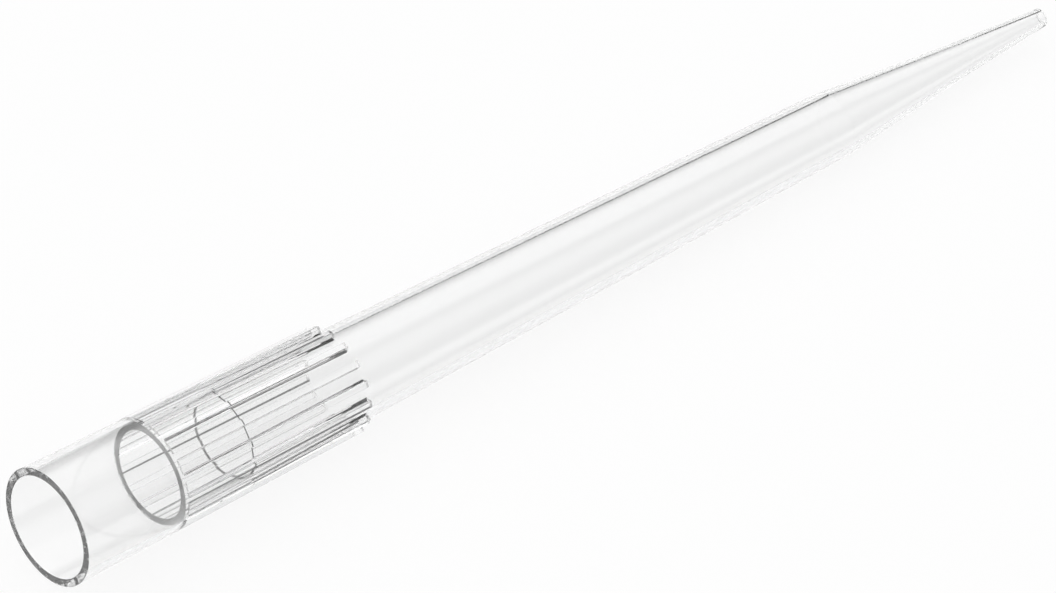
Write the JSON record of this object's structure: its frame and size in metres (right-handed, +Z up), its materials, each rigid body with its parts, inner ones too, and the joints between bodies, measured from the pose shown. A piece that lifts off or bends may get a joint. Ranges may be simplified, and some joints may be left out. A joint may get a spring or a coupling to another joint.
{
  "type": "pipette tip",
  "caption": "Long clear pipette tip with a smooth mouth collar, ribbed grip zone, slim tapered body and fine point, lying on its ribs.",
  "frame": {"origin": "on the floor, under the middle of the lying tip", "axes": "+X along the tip from its mouth to its orifice, +Z up, +Y across. The tip's own axis falls 2 degrees towards the orifice, as it lies on two ribs and the knee of its body"},
  "size_m": [0.0882, 0.0086, 0.0091],
  "materials": {
    "clear_polypropylene": "clear, colourless, smooth moulded polypropylene"
  },
  "bodies": {
    "root": {"pipette_tip": "clear_polypropylene"}
  },
  "joints": []
}
